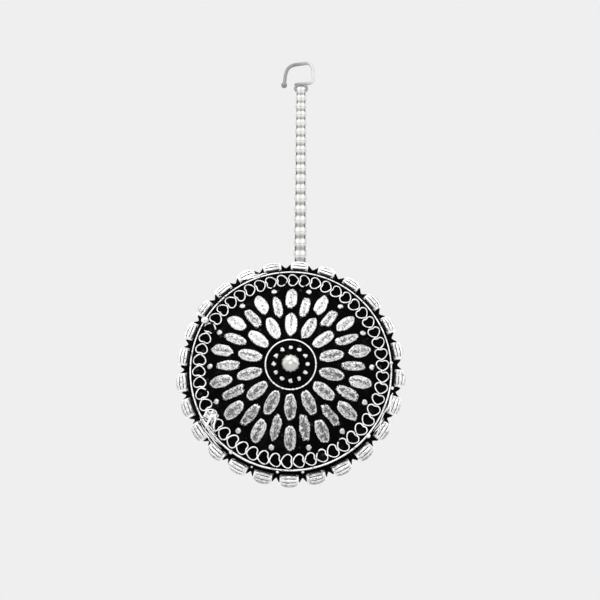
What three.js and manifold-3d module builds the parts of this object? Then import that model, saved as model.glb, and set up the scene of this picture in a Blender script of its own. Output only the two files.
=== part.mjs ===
// A maang tikka in oxidised silver: a domed medallion that swings from a box chain under a hair hook.
// Units are millimetres and +Z is up. The origin is the inside of the hook's arch, where hair holds it.
// The medallion's face looks towards -Y and, hanging free, leans a little downwards.

import * as THREE from "three";
import { mergeVertices } from "three/addons/utils/BufferGeometryUtils.js";
import Module from "manifold-3d";

const wasm = await Module();
wasm.setup();

// Hook: a bent round wire with a ball on its free end and a small eye under its foot
const hookWireRadius = 0.5;
const hookWidth = 7.9;
const hookHeight = 9.7;
const hookTipBallRadius = 0.85;
const eyeInnerRadius = 1.2;
const eyeWireRadius = 0.4;

// Chain: square-shouldered links of flat band, each turned a quarter from the last
const linkCount = 41;
const linkPitch = 1.747;
const linkInnerWidth = 2.24;
const linkBandWidth = 1.95;
const linkBandThickness = 0.45;
const linkGap = 0.14;

// End ring: the round ring between the chain and the medallion's loop
const endRingInnerRadius = 2.22;
const endRingWireRadius = 0.35;

// Medallion: a drum with a low dome, a wire round its edge and a horned flange round its wall
const faceRadius = 19.4;
const rimWireRadius = 0.38;
const drumHeight = 5.0;
const flangeLevel = 2.9;
const flangeThickness = 0.8;
const flangeHollowReach = 1.4;
const flangeHornReach = 2.0;
const domeInset = 3.3;
const bandDrop = 0.5;
const domeHeight = 2.9;
const centreRingRadius = 4.8;
const centreRingWireRadius = 0.3;
const domeRadius = faceRadius - domeInset;
const bandDepth = drumHeight - bandDrop;

// Loop: soldered to the medallion's back, and the place where the medallion swings
const loopWireRadius = 0.4;
const loopRunningGap = 0.15;
const loopInset = 7.6;
const loopOffset = 1.7;
const solderDepth = 0.2;
const loopHeight = faceRadius - loopInset;

// Relief on the dome: three rows of petals and two rows of granules round a boss
const petalCount = 14;
const petalRelief = 0.62;
const petalRowGap = 0.8;
const petalEdgeGap = 0.25;
const petalRingGap = 0.7;
const innerPetalLength = 5.0;
const innerPetalWidth = 2.4;
const narrowPetalLength = 4.9;
const narrowPetalWidth = 1.9;
const narrowPetalInset = 1.6;
const outerPetalWidth = 2.45;
const outerGranuleRadius = 0.6;
const outerGranuleInset = 0.45;
const centreGranuleRadius = 0.5;
const centreGranuleInset = 1.6;
const centreGranuleCount = 12;
const bossRadius = 1.75;
const bossRise = 0.5;

// Border of wire hearts lying round the edge, and the beads round the rim
const heartCount = 50;
const heartRimGap = 0.04;
const heartWidth = 2.6;
const heartLength = 2.1;
const heartWire = 0.3;
const heartRelief = 0.3;
const heartTurn = 1.5;
const beadCount = 25;
const beadTurn = 5.7;
const beadDrift = 3.7;
const beadDriftTurn = 28;
const beadRadius = 1.5;
const beadLength = 3.6;
const beadSink = 0.2;
const beadRing = faceRadius + beadRadius;
const beadDepth = flangeLevel + flangeThickness / 2 - beadSink;

// Where each row of the relief starts and ends, out from the middle of the face
const innerPetal = {
  start: centreRingRadius + petalRingGap,
  end: centreRingRadius + petalRingGap + innerPetalLength,
  width: innerPetalWidth,
  turn: 0,
};
const narrowPetal = {
  start: domeRadius - narrowPetalInset - narrowPetalLength,
  end: domeRadius - narrowPetalInset,
  width: narrowPetalWidth,
  turn: 0.5,
};
const outerPetal = {
  start: innerPetal.end + petalRowGap,
  end: domeRadius - petalEdgeGap,
  width: outerPetalWidth,
  turn: 0,
};
const outerGranule = {
  ring: domeRadius - outerGranuleInset,
  radius: outerGranuleRadius,
  count: petalCount,
  turn: 0.5,
};
const centreGranule = {
  ring: centreRingRadius - centreGranuleInset,
  radius: centreGranuleRadius,
  count: centreGranuleCount,
  turn: 0,
};
const heartRing = faceRadius - rimWireRadius - heartRimGap - heartWidth / 2;

// How finely round things are drawn
const faceSides = 50;
const petalSides = 8;
const granuleSides = 6;
const beadSides = 10;
const linkSides = 10;
const ringSides = 14;
const wireSides = 5;
const ballSides = 12;
const ballRows = 6;
const hookSteps = 22;
const hookSides = 8;
const seatDepth = 0.25;

const silver = new THREE.MeshStandardMaterial({ color: 0xd9dadb, roughness: 0.28, metalness: 1 });
const oxidisedSilver = new THREE.MeshStandardMaterial({ color: 0x8d8e90, roughness: 0.38, metalness: 1 });
const steelGrey = new THREE.MeshStandardMaterial({ color: 0xa9aaab, roughness: 0.32, metalness: 1 });

// Turns a closed geometry into a solid that can be joined.
function solidOf(geometry) {
  const bare = geometry.clone();
  bare.deleteAttribute("normal");
  bare.deleteAttribute("uv");
  const merged = mergeVertices(bare, 1e-4);
  const vertProperties = new Float32Array(merged.attributes.position.array);
  const triVerts = new Uint32Array(merged.index.array);
  return new wasm.Manifold(new wasm.Mesh({ numProp: 3, vertProperties, triVerts }));
}

function joined(geometries) {
  return geometries.map(solidOf).reduce((whole, piece) => whole.add(piece));
}

function geometryOf(solid) {
  const { vertProperties, triVerts } = solid.getMesh();
  const geometry = new THREE.BufferGeometry();
  geometry.setAttribute("position", new THREE.BufferAttribute(vertProperties, 3));
  geometry.setIndex(new THREE.BufferAttribute(triVerts, 1));
  geometry.computeVertexNormals();
  return geometry;
}

function meshOf(name, geometry, material) {
  const mesh = new THREE.Mesh(geometry, material);
  mesh.name = name;
  return mesh;
}

// A ring of round wire about the Z axis.
function roundRing(centreLineRadius, wireRadius) {
  const section = [];
  for (let i = 0; i <= wireSides; i++) {
    const angle = (i / wireSides) * 2 * Math.PI;
    const radius = centreLineRadius + wireRadius * Math.cos(angle);
    section.push(new THREE.Vector2(radius, wireRadius * Math.sin(angle)));
  }
  return new THREE.LatheGeometry(section, ringSides).rotateX(Math.PI / 2);
}

// A low pebble about the Z axis: straight below its seat, crowned above it.
function pebble(halfWidth, halfLength, height, sides) {
  const profile = [
    new THREE.Vector2(0, -seatDepth),
    new THREE.Vector2(1, -seatDepth),
    new THREE.Vector2(0.7, height * 0.75),
    new THREE.Vector2(0, height),
  ];
  const dome = new THREE.LatheGeometry(profile, sides).rotateX(Math.PI / 2);
  return dome.scale(halfWidth, halfLength, 1);
}

// The dome is a cap of a sphere: its height above the flat back at a distance from the middle.
function domeLevel(radius) {
  const sphere = (domeRadius ** 2 + domeHeight ** 2) / (2 * domeHeight);
  const drop = sphere - Math.sqrt(sphere ** 2 - radius ** 2);
  return bandDepth + domeHeight - drop;
}

// The drum, the border's level band, the dome and the wires round both, as one turned body.
function turnedBody() {
  const wallRadius = faceRadius + rimWireRadius * 0.3;
  const ringLevel = domeLevel(centreRingRadius);
  const profile = [
    [0, 0],
    [wallRadius, 0],
    [wallRadius, drumHeight - rimWireRadius],
    [faceRadius + rimWireRadius, drumHeight],
    [faceRadius, drumHeight + rimWireRadius],
    [faceRadius - rimWireRadius, drumHeight],
    [faceRadius - rimWireRadius, bandDepth],
    [domeRadius, bandDepth],
    [(domeRadius + centreRingRadius) / 2, domeLevel((domeRadius + centreRingRadius) / 2)],
    [centreRingRadius + centreRingWireRadius, ringLevel],
    [centreRingRadius, ringLevel + centreRingWireRadius],
    [centreRingRadius - centreRingWireRadius, ringLevel],
    [0, domeLevel(0)],
  ].map(([radius, depth]) => new THREE.Vector2(radius, depth));
  return new THREE.LatheGeometry(profile, faceSides).rotateX(Math.PI / 2);
}

// A bead's place clockwise from the top; they were set a little closer together at the bottom than at the top.
function beadAngle(i) {
  const even = (i / beadCount) * 2 * Math.PI + THREE.MathUtils.degToRad(beadTurn);
  const drift = Math.sin(even - THREE.MathUtils.degToRad(beadDriftTurn));
  return even + THREE.MathUtils.degToRad(beadDrift) * drift;
}

// The flange carries the beads: its edge dips between two beads and has a horn at each bead's end.
function hornedFlange() {
  const shape = new THREE.Shape();
  const hornAngle = (beadLength * 0.52) / beadRing;
  const hollowRadius = faceRadius + flangeHollowReach;
  const hornRadius = faceRadius + flangeHornReach;
  for (let i = 0; i < beadCount; i++) {
    const middle = Math.PI / 2 - beadAngle(i);
    const before = Math.PI / 2 - beadAngle(i - 1);
    const edge = [
      [(before + middle) / 2, hollowRadius],
      [middle + hornAngle, hornRadius],
      [middle - hornAngle, hornRadius],
    ];
    for (const [angle, radius] of edge) {
      const corner = [radius * Math.cos(angle), radius * Math.sin(angle)];
      if (i === 0 && shape.curves.length === 0 && angle === edge[0][0]) shape.moveTo(...corner);
      else shape.lineTo(...corner);
    }
  }
  const plate = new THREE.ExtrudeGeometry(shape, { depth: flangeThickness, bevelEnabled: false });
  return plate.translate(0, 0, flangeLevel);
}

// Places a piece made at the middle of the face on a circle, with its +Y end pointing outwards.
function placeOnFace(geometry, radius, depth, angle) {
  geometry.translate(0, radius, depth);
  return geometry.rotateZ(-angle);
}

function petals({ start, end, width, turn }) {
  const middle = (start + end) / 2;
  const made = [];
  for (let i = 0; i < petalCount; i++) {
    const angle = ((i + turn) / petalCount) * 2 * Math.PI;
    const petal = pebble(width / 2, (end - start) / 2, petalRelief, petalSides);
    const run = 0.01 * middle;
    const slope = (domeLevel(middle + run) - domeLevel(middle - run)) / (2 * run);
    petal.rotateX(Math.atan(slope));
    made.push(placeOnFace(petal, middle, domeLevel(middle), angle));
  }
  return made;
}

function granules({ ring, radius, count, turn }) {
  const made = [];
  for (let i = 0; i < count; i++) {
    const angle = ((i + turn) / count) * 2 * Math.PI;
    const grain = pebble(radius, radius, radius, granuleSides);
    made.push(placeOnFace(grain, ring, domeLevel(ring), angle));
  }
  return made;
}

function boss() {
  const ball = new THREE.SphereGeometry(bossRadius, ballSides, ballRows);
  return ball.rotateX(Math.PI / 2).translate(0, 0, domeLevel(0) + bossRise);
}

// One wire heart lying along the border with its tip pointing clockwise.
function heartOutline(inset) {
  const halfWidth = heartWidth / 2 - inset;
  const back = -heartLength / 2 + inset;
  const tip = heartLength / 2 - inset * 1.3;
  const cleft = back + heartLength * 0.2;
  return [
    [tip, 0],
    [back + (tip - back) * 0.45, halfWidth],
    [back, halfWidth * 0.65],
    [cleft, 0],
    [back, -halfWidth * 0.65],
    [back + (tip - back) * 0.45, -halfWidth],
  ].map(([along, across]) => new THREE.Vector2(along, across));
}

function hearts() {
  const made = [];
  for (let i = 0; i < heartCount; i++) {
    const shape = new THREE.Shape(heartOutline(0));
    shape.holes.push(new THREE.Path(heartOutline(heartWire)));
    const heart = new THREE.ExtrudeGeometry(shape, {
      depth: seatDepth + heartRelief,
      bevelEnabled: false,
    });
    const angle = (i / heartCount) * 2 * Math.PI + THREE.MathUtils.degToRad(heartTurn);
    made.push(placeOnFace(heart, heartRing, bandDepth - seatDepth, angle));
  }
  return made;
}

function beads() {
  const profile = [
    [0, -0.5],
    [0.58, -0.5],
    [1, -0.18],
    [1, 0.18],
    [0.58, 0.5],
    [0, 0.5],
  ].map(([across, along]) => new THREE.Vector2(across * beadRadius, along * beadLength));
  const made = [];
  for (let i = 0; i < beadCount; i++) {
    const bead = new THREE.LatheGeometry(profile, beadSides).rotateZ(Math.PI / 2);
    made.push(placeOnFace(bead, beadRing, beadDepth, beadAngle(i)));
  }
  return made;
}

// The loop's hole lies along X, so that the end ring's wire runs through it.
const loopHoleRadius = endRingWireRadius + loopRunningGap;
const loopCentreLine = loopHoleRadius + loopWireRadius;
const loopBehindBack = loopCentreLine + loopWireRadius - solderDepth;

function backLoop() {
  const loop = roundRing(loopCentreLine, loopWireRadius);
  return loop.rotateY(Math.PI / 2).translate(loopOffset, loopHeight, -loopBehindBack);
}

// The medallion in its own frame: +Z out of its face, +Y to its top, its flat back at Z = 0.
function medallionSolid() {
  const relief = [innerPetal, narrowPetal, outerPetal].flatMap(petals);
  const grains = [outerGranule, centreGranule].flatMap(granules);
  const body = joined([turnedBody(), hornedFlange(), boss(), backLoop()]);
  return [...relief, ...grains, ...hearts(), ...beads()].map(solidOf).reduce((whole, p) => whole.add(p), body);
}

// The middle of a solid's weight, from the tetrahedra between its faces and the origin.
function centreOfWeight(geometry) {
  const position = geometry.getAttribute("position");
  const sum = new THREE.Vector3();
  let volume = 0;
  for (let i = 0; i < geometry.index.count; i += 3) {
    const [a, b, c] = [0, 1, 2].map((k) =>
      new THREE.Vector3().fromBufferAttribute(position, geometry.index.getX(i + k)),
    );
    const part = a.dot(new THREE.Vector3().crossVectors(b, c)) / 6;
    sum.addScaledVector(a.add(b).add(c), part / 4);
    volume += part;
  }
  return sum.divideScalar(volume);
}

// One link: a band bent to a rounded square round the Y axis, its length along Z.
function linkGeometry() {
  const innerHalfWidth = linkInnerWidth / 2;
  const innerHalfLength = (linkPitch + linkGap) / 2;
  const corner = 4;
  const section = [
    [0, 0.35],
    [0, -0.35],
    [0.6, -0.5],
    [1, 0],
    [0.6, 0.5],
    [0, 0.35],
  ].map(([out, along]) => new THREE.Vector2(1 + out * linkBandThickness, along * linkBandWidth));
  const ring = new THREE.LatheGeometry(section, linkSides);
  const position = ring.getAttribute("position");
  for (let i = 0; i < position.count; i++) {
    const distance = Math.hypot(position.getX(i), position.getZ(i));
    const across = position.getX(i) / distance;
    const along = position.getZ(i) / distance;
    const outwards = distance - 1;
    const inner = new THREE.Vector2(
      innerHalfWidth * Math.sign(across) * Math.abs(across) ** (2 / corner),
      innerHalfLength * Math.sign(along) * Math.abs(along) ** (2 / corner),
    );
    const normal = new THREE.Vector2(
      Math.sign(across) * Math.abs(across) ** (2 - 2 / corner) / innerHalfWidth,
      Math.sign(along) * Math.abs(along) ** (2 - 2 / corner) / innerHalfLength,
    ).normalize();
    position.setX(i, inner.x + normal.x * outwards);
    position.setZ(i, inner.y + normal.y * outwards);
  }
  return ring;
}

// The hook's wire runs from its foot over the arch to the ball; x and z are shares of width and height.
const hookRoute = [
  { x: -0.17, z: -0.02 },
  { x: 0.1, z: 0.02 },
  { x: 0.33, z: 0.07 },
  { x: 0.425, z: 0.2 },
  { x: 0.43, z: 0.5 },
  { x: 0.4, z: 0.86 },
  { x: 0.27, z: 1.03 },
  { x: 0, z: 1 },
  { x: -0.3, z: 0.93 },
  { x: -0.47, z: 0.77 },
  { x: -0.555, z: 0.48 },
  { x: -0.58, z: 0.2 },
  { x: -0.6, z: -0.04 },
];

const archLevel = hookWireRadius;
const footLevel = archLevel - hookHeight;
const eyeLevel = footLevel - hookWireRadius - eyeInnerRadius - eyeWireRadius + solderDepth;

function hookGeometry() {
  const points = hookRoute.map(({ x, z }) => {
    return new THREE.Vector3(x * hookWidth, 0, footLevel + z * hookHeight);
  });
  const section = new THREE.Shape();
  section.absarc(0, 0, hookWireRadius, 0, 2 * Math.PI, false);
  const wire = new THREE.ExtrudeGeometry(section, {
    steps: hookSteps,
    curveSegments: hookSides / 2,
    extrudePath: new THREE.CatmullRomCurve3(points),
  });
  const tip = points[points.length - 1];
  const ball = new THREE.SphereGeometry(hookTipBallRadius, ballSides, ballRows);
  ball.translate(tip.x, tip.y, tip.z);
  const eye = roundRing(eyeInnerRadius + eyeWireRadius, eyeWireRadius);
  eye.rotateX(Math.PI / 2).translate(0, 0, eyeLevel);
  return geometryOf(joined([wire, ball, eye]));
}

// Builds the chain downwards from the eye, then the end ring and the medallion on it.
const maangTikka = new THREE.Group();
maangTikka.name = "maang_tikka";
maangTikka.add(meshOf("hook", hookGeometry(), steelGrey));

const linkHalfHole = (linkPitch + linkGap) / 2;
const firstLinkLevel = eyeLevel - eyeInnerRadius - linkHalfHole + linkGap;
for (let i = 0; i < linkCount; i++) {
  const name = "link_" + String(i + 1).padStart(2, "0");
  const link = meshOf(name, linkGeometry(), silver);
  link.position.z = firstLinkLevel - i * linkPitch;
  link.rotation.z = i % 2 === 0 ? Math.PI / 2 : 0;
  maangTikka.add(link);
}

const lastLinkLevel = firstLinkLevel - (linkCount - 1) * linkPitch;
const endRingLevel = lastLinkLevel - linkHalfHole - endRingInnerRadius + linkGap;
const endRingCentreLine = endRingInnerRadius + endRingWireRadius;
const endRing = meshOf("end_ring", roundRing(endRingCentreLine, endRingWireRadius), silver);
endRing.rotation.x = Math.PI / 2;
endRing.position.z = endRingLevel;
maangTikka.add(endRing);

// The medallion hangs with its weight straight under the end ring's lowest wire.
const medallionGeometry = geometryOf(medallionSolid());
const weight = centreOfWeight(medallionGeometry);
const hangTilt = Math.atan2(weight.z + loopBehindBack, loopHeight - weight.y);
const swingLevel = endRingLevel - endRingCentreLine;
const swinging = new THREE.Group();
swinging.position.z = swingLevel;
swinging.rotation.x = Math.PI / 2 + hangTilt;
const medallion = meshOf("medallion", medallionGeometry, oxidisedSilver);
medallion.position.set(-loopOffset, -loopHeight, loopBehindBack);
swinging.add(medallion);
maangTikka.add(swinging);

export default maangTikka;
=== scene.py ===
"""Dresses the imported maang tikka: a domed, oxidised silver medallion on a box chain and a hair hook."""

import math

import bpy
import numpy as np
from mathutils import Matrix, Vector


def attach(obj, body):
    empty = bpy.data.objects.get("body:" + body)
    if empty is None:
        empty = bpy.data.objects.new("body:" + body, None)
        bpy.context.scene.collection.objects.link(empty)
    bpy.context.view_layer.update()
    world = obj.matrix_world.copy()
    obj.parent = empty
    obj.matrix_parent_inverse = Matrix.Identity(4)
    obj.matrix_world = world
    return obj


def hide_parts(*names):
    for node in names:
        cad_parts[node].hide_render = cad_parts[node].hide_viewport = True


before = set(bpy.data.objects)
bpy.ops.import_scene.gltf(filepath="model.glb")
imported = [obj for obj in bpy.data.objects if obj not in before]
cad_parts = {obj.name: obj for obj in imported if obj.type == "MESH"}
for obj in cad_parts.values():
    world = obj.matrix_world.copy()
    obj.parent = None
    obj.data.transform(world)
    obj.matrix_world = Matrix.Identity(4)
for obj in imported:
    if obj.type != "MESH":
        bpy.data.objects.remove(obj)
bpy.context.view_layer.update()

bl_info = {
    "name": "Maang tikka dressing",
    "version": (1, 0, 0),
    "blender": (4, 5, 0),
    "location": "3D View > Sidebar > Maang Tikka",
    "description": "Builds the finished pieces and materials of an oxidised silver maang tikka",
    "category": "Object",
}

MM = 0.001
TURN = 2 * math.pi

# Sizes that follow the CAD part, in millimetres. The wall and the horns stand a little further out here,
# so that they cover the part's.
SWING_LEVEL = -88.577
HANG_TILT = math.radians(18.815)
LOOP_PLACE = (1.7, 11.8, -1.1)
LOOP_CENTRE_LINE = 0.9
LOOP_WIRE = 0.4
DRUM_HEIGHT = 5.0
BAND_LEVEL = 4.5
DOME_HEIGHT = 2.9
FACE_RADIUS = 19.4
WALL_RADIUS = 19.5
DOME_RADIUS = 16.1
FLANGE_LEVEL = 2.9
FLANGE_THICKNESS = 0.8
HOLLOW_RADIUS = 20.8
HORN_RADIUS = 21.6
BEAD_COUNT = 25
BEAD_TURN = math.radians(5.7)
BEAD_DRIFT = math.radians(3.7)
BEAD_DRIFT_TURN = math.radians(28)
BEAD_RING = 20.9
BEAD_LEVEL = 3.1
BEAD_LENGTH = 3.6
BEAD_RADIUS = 1.5
HEART_COUNT = 50
HEART_RING = 17.78
HEART_TURN = math.radians(1.5)
CENTRE_RING_RADIUS = 4.8
CENTRE_GRANULE_COUNT = 12
PETAL_COUNT = 14
LINK_COUNT = 41
LINK_PITCH = 1.747
LINK_INNER_WIDTH = 2.24
LINK_GAP = 0.14
FIRST_LINK_LEVEL = -13.1035
END_RING_LEVEL = -86.007
END_RING_CENTRE_LINE = 2.57
FOOT_LEVEL = -9.2
HOOK_WIDTH = 7.9
HOOK_HEIGHT = 9.7
EYE_LEVEL = -11.1
EYE_CENTRE_LINE = 1.6
EYE_WIRE = 0.4
HOOK_ROUTE = (
    (-0.17, -0.02), (0.1, 0.02), (0.33, 0.07), (0.425, 0.2), (0.43, 0.5), (0.4, 0.86), (0.27, 1.03),
    (0.0, 1.0), (-0.3, 0.93), (-0.47, 0.77), (-0.555, 0.48), (-0.58, 0.2), (-0.6, -0.04),
)

# Fine work that only this script makes: the width of a petal's rubbed border, the grooves round a bead, and
# the number of the heart that oxide mostly covers
RUBBED_WIDTH = 0.45
FLUTE_COUNT = 12
HIDDEN_HEART = 41

# The level way from the front of the piece to its back
AWAY = np.array([0, 1.0, 0])

# Where the photograph's camera stands: its angles, the level on the face that it is measured from, and
# how far it is to the right of that point and above it, in millimetres
CAMERA_CLIMB = math.radians(36.325)
CAMERA_ROLL = math.radians(0.29)
CAMERA_AIM_LEVEL = 3.07
CAMERA_RIGHT = 1.707
CAMERA_UP = 13.45


def length(name, description, millimetres):
    """A length that a user may change, kept in metres."""
    return bpy.props.FloatProperty(
        name=name,
        description=description,
        default=millimetres * MM,
        min=0.0,
        subtype="DISTANCE",
        unit="LENGTH",
    )


def share(name, description, value):
    """A part of one, from nothing to the whole."""
    return bpy.props.FloatProperty(
        name=name, description=description, default=value, min=0.0, max=1.0, subtype="FACTOR"
    )


def colour(name, description, value):
    """A colour that a user may change."""
    return bpy.props.FloatVectorProperty(
        name=name, description=description, default=value, min=0.0, max=1.0, size=3, subtype="COLOR"
    )


class MedallionSizes(bpy.types.PropertyGroup):
    """The medallion's finer sizes."""

    petal_rise: length("Petal rise", "How far the petals stand above the dome", 0.62)
    petal_ragged: share("Petal raggedness", "How uneven the cast outline of a petal is", 0.03)
    heart_wire: length("Heart wire", "Thickness of the wire hearts in the border", 0.3)
    heart_length: length("Heart length", "Length of a heart along the border", 2.16)
    heart_width: length("Heart width", "Width of a heart across the border", 2.4)
    heart_cleft: length("Heart cleft", "Depth of the dip in a heart's round end", 0.28)
    rim_wire: length("Rim wire", "Thickness of the wire round the face", 0.29)
    centre_wire: length("Centre wire", "Thickness of the wire round the boss", 0.32)
    boss_radius: length("Boss radius", "Radius of the ball in the middle", 1.8)
    flute_depth: share("Flute depth", "Depth of the grooves along a rim bead", 0.1)
    solder_height: length("Solder height", "How far the lump of solder stands above the border", 0.7)


class ChainSizes(bpy.types.PropertyGroup):
    """The sizes of the chain, its ring and the hook."""

    band_width: length("Band width", "Width of a link's band", 1.95)
    band_thickness: length("Band thickness", "Thickness of a link's band", 0.45)
    groove_depth: length("Groove depth", "Depth of the seam along the middle of a link", 0.13)
    ring_wire: length("Ring wire", "Thickness of the end ring's wire", 0.7)
    hook_wire: length("Hook wire", "Thickness of the hook's wire", 1.0)
    tip_ball: length("Tip ball", "Radius of the ball on the hook's free end", 0.85)


class Finishes(bpy.types.PropertyGroup):
    """The colours and roughness of the finishes."""

    bright_silver: colour("Bright silver", "Rubbed silver on the high places", (0.95, 0.95, 0.945))
    # Also the colour of the painted shade on the lower pieces of the face and on the beads' outer sides.
    grey_silver: colour("Grey silver", "Silver that a thin film has dulled", (0.46, 0.46, 0.46))
    black_oxide: colour("Black oxide", "The blackened hollows", (0.0016, 0.0016, 0.0018))
    chain_silver: colour("Chain silver", "The chain's plating", (0.78, 0.78, 0.765))
    boss_silver: colour("Boss silver", "The smooth ball in the middle", (0.74, 0.735, 0.7))
    hook_steel: colour("Hook wire", "The hook's drawn wire", (0.66, 0.66, 0.65))
    back_silver: colour("Back silver", "The dull back of the medallion", (0.34, 0.34, 0.335))
    silver_roughness: share("Silver roughness", "How matt the rubbed silver is", 0.3)


class StageSettings(bpy.types.PropertyGroup):
    """The floor, the light and the camera."""

    backdrop: colour("Backdrop", "The flat pale background", (0.863, 0.863, 0.863))
    floor_grey: colour("Floor", "The pale floor", (0.68, 0.68, 0.68))
    floor_drop: length("Floor level", "How far the floor lies below the hook's arch", 250.0)
    light_strength: bpy.props.FloatProperty(
        name="Light strength", description="Brightness of the room's white light", default=1.0, min=0.0
    )
    front_dimming: share("Front dimming", "Light that comes from straight in front, against the rest", 0.8)
    camera_distance: length("Camera distance", "From the lens to the medallion's face", 126.1)
    lens: bpy.props.FloatProperty(
        name="Lens",
        description="Focal length in millimetres",
        default=38.62,
        min=1.0,
        subtype="DISTANCE_CAMERA",
    )


def in_mm(value):
    """Turns a length in metres to millimetres."""
    return value / MM


# Meshes


def body_from_grid(grid, ends="poles", **marks):
    """Closes grids of points into bodies whose faces point outwards.

    grid is copies x rows x columns x 3. Columns run round the body. With poles, the whole first row and
    the whole last row are each one point; joined, the last row meets the first again. marks are numbers
    for each point.
    """
    copies, rows, columns, _ = grid.shape
    index = np.arange(copies * rows * columns).reshape(copies, rows, columns)
    if ends == "poles":
        index[:, 0] = index[:, 0, :1]
        index[:, -1] = index[:, -1, :1]
        lower, upper = index[:, :-1], index[:, 1:]
    else:
        lower, upper = index, np.roll(index, -1, axis=1)
    quads = np.stack([lower, np.roll(lower, -1, 2), np.roll(upper, -1, 2), upper], axis=-1)
    tris = np.zeros((0, 3), int)
    if ends == "poles":
        tris = np.concatenate([quads[:, 0][..., 1:].reshape(-1, 3), quads[:, -1][..., :3].reshape(-1, 3)])
        quads = quads[:, 1:-1]
    quads = quads.reshape(-1, 4)
    used, renamed = np.unique(np.concatenate([quads.ravel(), tris.ravel()]), return_inverse=True)
    quads, tris = renamed[: quads.size].reshape(-1, 4), renamed[quads.size :].reshape(-1, 3)
    points = grid.reshape(-1, 3)[used]
    if enclosed_volume(points, quads, tris) < 0:
        quads, tris = quads[:, ::-1], tris[:, ::-1]
    shape = grid.shape[:3]
    kept_film_and_shade = {name: np.broadcast_to(values, shape).reshape(-1)[used] for name, values in marks.items()}
    return {"points": points, "quads": quads, "tris": tris, "marks": kept_film_and_shade}


def enclosed_volume(points, quads, tris):
    """The volume inside the faces: a sixth of the sum of each triangle's triple product."""
    corners = np.concatenate([quads[:, [0, 1, 2]], quads[:, [0, 2, 3]], tris])
    a, b, c = (points[corners[:, k]] - points.mean(0) for k in range(3))
    return np.einsum("ij,ij->i", a, np.cross(b, c)).sum() / 6


def make_piece(name, bodies, material, rides_on, stands_for=()):
    """Puts bodies, in millimetres, into one mesh object in metres and ties it to the frame."""
    starts = np.cumsum([0] + [len(body["points"]) for body in bodies])
    points = np.concatenate([body["points"] for body in bodies]) * MM
    quads = np.concatenate([body["quads"] + start for body, start in zip(bodies, starts)])
    tris = np.concatenate([body["tris"] + start for body, start in zip(bodies, starts)])
    mesh = bpy.data.meshes.new(name)
    mesh.vertices.add(len(points))
    mesh.vertices.foreach_set("co", points.astype(np.float32).ravel())
    mesh.loops.add(quads.size + tris.size)
    mesh.loops.foreach_set("vertex_index", np.concatenate([quads.ravel(), tris.ravel()]).astype(np.int32))
    mesh.polygons.add(len(quads) + len(tris))
    first_loops = np.concatenate([np.arange(len(quads)) * 4, quads.size + np.arange(len(tris)) * 3])
    mesh.polygons.foreach_set("loop_start", first_loops.astype(np.int32))
    for mark in sorted({mark for body in bodies for mark in body["marks"]}):
        values = np.concatenate([body["marks"].get(mark, np.zeros(len(body["points"]))) for body in bodies])
        layer = mesh.attributes.new(mark, "FLOAT", "POINT")
        layer.data.foreach_set("value", values.astype(np.float32))
    mesh.update(calc_edges=True)
    mesh.validate()
    mesh.shade_smooth()
    mesh.materials.append(material)
    piece = bpy.data.objects.new(name, mesh)
    bpy.context.scene.collection.objects.link(piece)
    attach(piece, rides_on)
    if stands_for:
        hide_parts(*stands_for)
    return piece


def medallion_piece(name, bodies, material):
    """A piece in the medallion's own frame, turned to where the medallion hangs."""
    for body in bodies:
        body["points"] = hung(body["points"])
    return make_piece(name, bodies, material, "medallion", ("medallion",))


def hung(points):
    """Turns points from the face's frame, out of the face and up it, to the frame of the whole object.

    The loop's centre goes to the swing line, and the face leans forward by the hanging tilt.
    """
    across, up, out = (points - np.array(LOOP_PLACE)).T
    lean = math.pi / 2 + HANG_TILT
    turned = [across, math.cos(lean) * up - math.sin(lean) * out, math.sin(lean) * up + math.cos(lean) * out]
    return np.stack(turned, axis=-1) + np.array([0, 0, SWING_LEVEL])


def signed_power(value, power):
    """A power of the size of a value that keeps its sign, as in a superellipse."""
    return np.sign(value) * np.abs(value) ** power


def dome_level(radius):
    """Height of the face above its back: a cap of a sphere, then the flat band outside the dome."""
    sphere = (DOME_RADIUS**2 + DOME_HEIGHT**2) / (2 * DOME_HEIGHT)
    inside = np.minimum(radius, DOME_RADIUS)
    return BAND_LEVEL + DOME_HEIGHT - (sphere - np.sqrt(sphere**2 - inside**2))


def on_face(across, outwards, height, angle, ring):
    """Lays a flat pattern on the face, round the middle at an angle clockwise from the top.

    The point at across and ring plus outwards is turned by the angle, and its height is above the dome there.
    """
    out = ring + outwards
    level = dome_level(np.hypot(across, out)) + height
    right = across * np.cos(angle) + out * np.sin(angle)
    up = out * np.cos(angle) - across * np.sin(angle)
    return np.stack(np.broadcast_arrays(right, up, level), axis=-1)


def wobble(random, copies, around, waves, strength):
    """A closed uneven factor near one: a sum of cosines of whole turns with random size and phase."""
    total = np.ones((copies, 1, len(around)))
    for turns in waves:
        size = random.normal(0, strength, (copies, 1, 1))
        phase = random.uniform(0, TURN, (copies, 1, 1))
        total = total + size * np.cos(turns * around + phase)
    return total


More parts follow.
